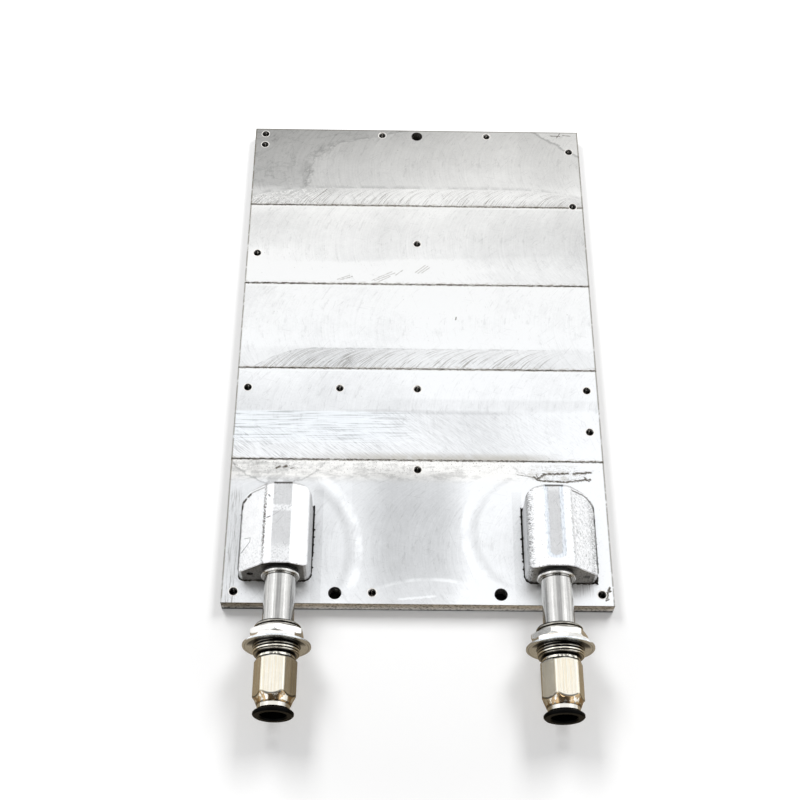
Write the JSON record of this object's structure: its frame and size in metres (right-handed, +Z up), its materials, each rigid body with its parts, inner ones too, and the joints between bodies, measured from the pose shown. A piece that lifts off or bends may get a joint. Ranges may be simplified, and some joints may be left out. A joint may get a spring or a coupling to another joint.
{
  "type": "liquid cooling plate",
  "caption": "Flat machined cooling plate with port blocks that feed tubes ending in bulkhead push-in hose fittings; coolant runs through ribbed passages inside it.",
  "frame": {"origin": "centre of the plate's underside", "axes": "+X to the right with the fittings towards the viewer, +Y along the plate away from the fittings, +Z up from the underside to the machined top face"},
  "size_m": [0.19, 0.3592, 0.0345],
  "materials": {
    "milled_aluminium": "milled, with lanes and swirls",
    "block_aluminium": "milled and brushed",
    "drawn_aluminium": "brushed round",
    "nickel_plated_brass": "bright nickel plate",
    "plated_steel": "plated",
    "spring_steel": "plain",
    "black_plastic": "semi-matte",
    "white_plastic": "matte",
    "black_rubber": "matte"
  },
  "bodies": {
    "plate": {"base_plate": "milled_aluminium", "cover_plate": "milled_aluminium", "left_port_block": "block_aluminium", "right_port_block": "block_aluminium", "left_tube_seal": "black_rubber", "right_tube_seal": "black_rubber", "left_tube": "drawn_aluminium", "right_tube": "drawn_aluminium", "left_fitting_body": "nickel_plated_brass", "right_fitting_body": "nickel_plated_brass", "left_panel_nut": "nickel_plated_brass", "right_panel_nut": "nickel_plated_brass", "left_lock_nut": "nickel_plated_brass", "right_lock_nut": "nickel_plated_brass", "left_washer": "plated_steel", "right_washer": "plated_steel", "left_guide_sleeve": "nickel_plated_brass", "right_guide_sleeve": "nickel_plated_brass", "left_claw_ring": "spring_steel", "right_claw_ring": "spring_steel", "left_support_ring": "white_plastic", "right_support_ring": "white_plastic", "left_hose_seal": "black_rubber", "right_hose_seal": "black_rubber"},
    "left_collet": {"left_release_collet": "black_plastic"},
    "right_collet": {"right_release_collet": "black_plastic"}
  },
  "joints": [
    {"name": "left_collet_press", "type": "slide", "parent": "plate", "child": "left_collet", "axis": [0, 1, 0], "range_m": [0, 0.0009], "stiffness_N_per_m": 300},
    {"name": "right_collet_press", "type": "slide", "parent": "plate", "child": "right_collet", "axis": [0, 1, 0], "range_m": [0, 0.0009], "stiffness_N_per_m": 300}
  ]
}
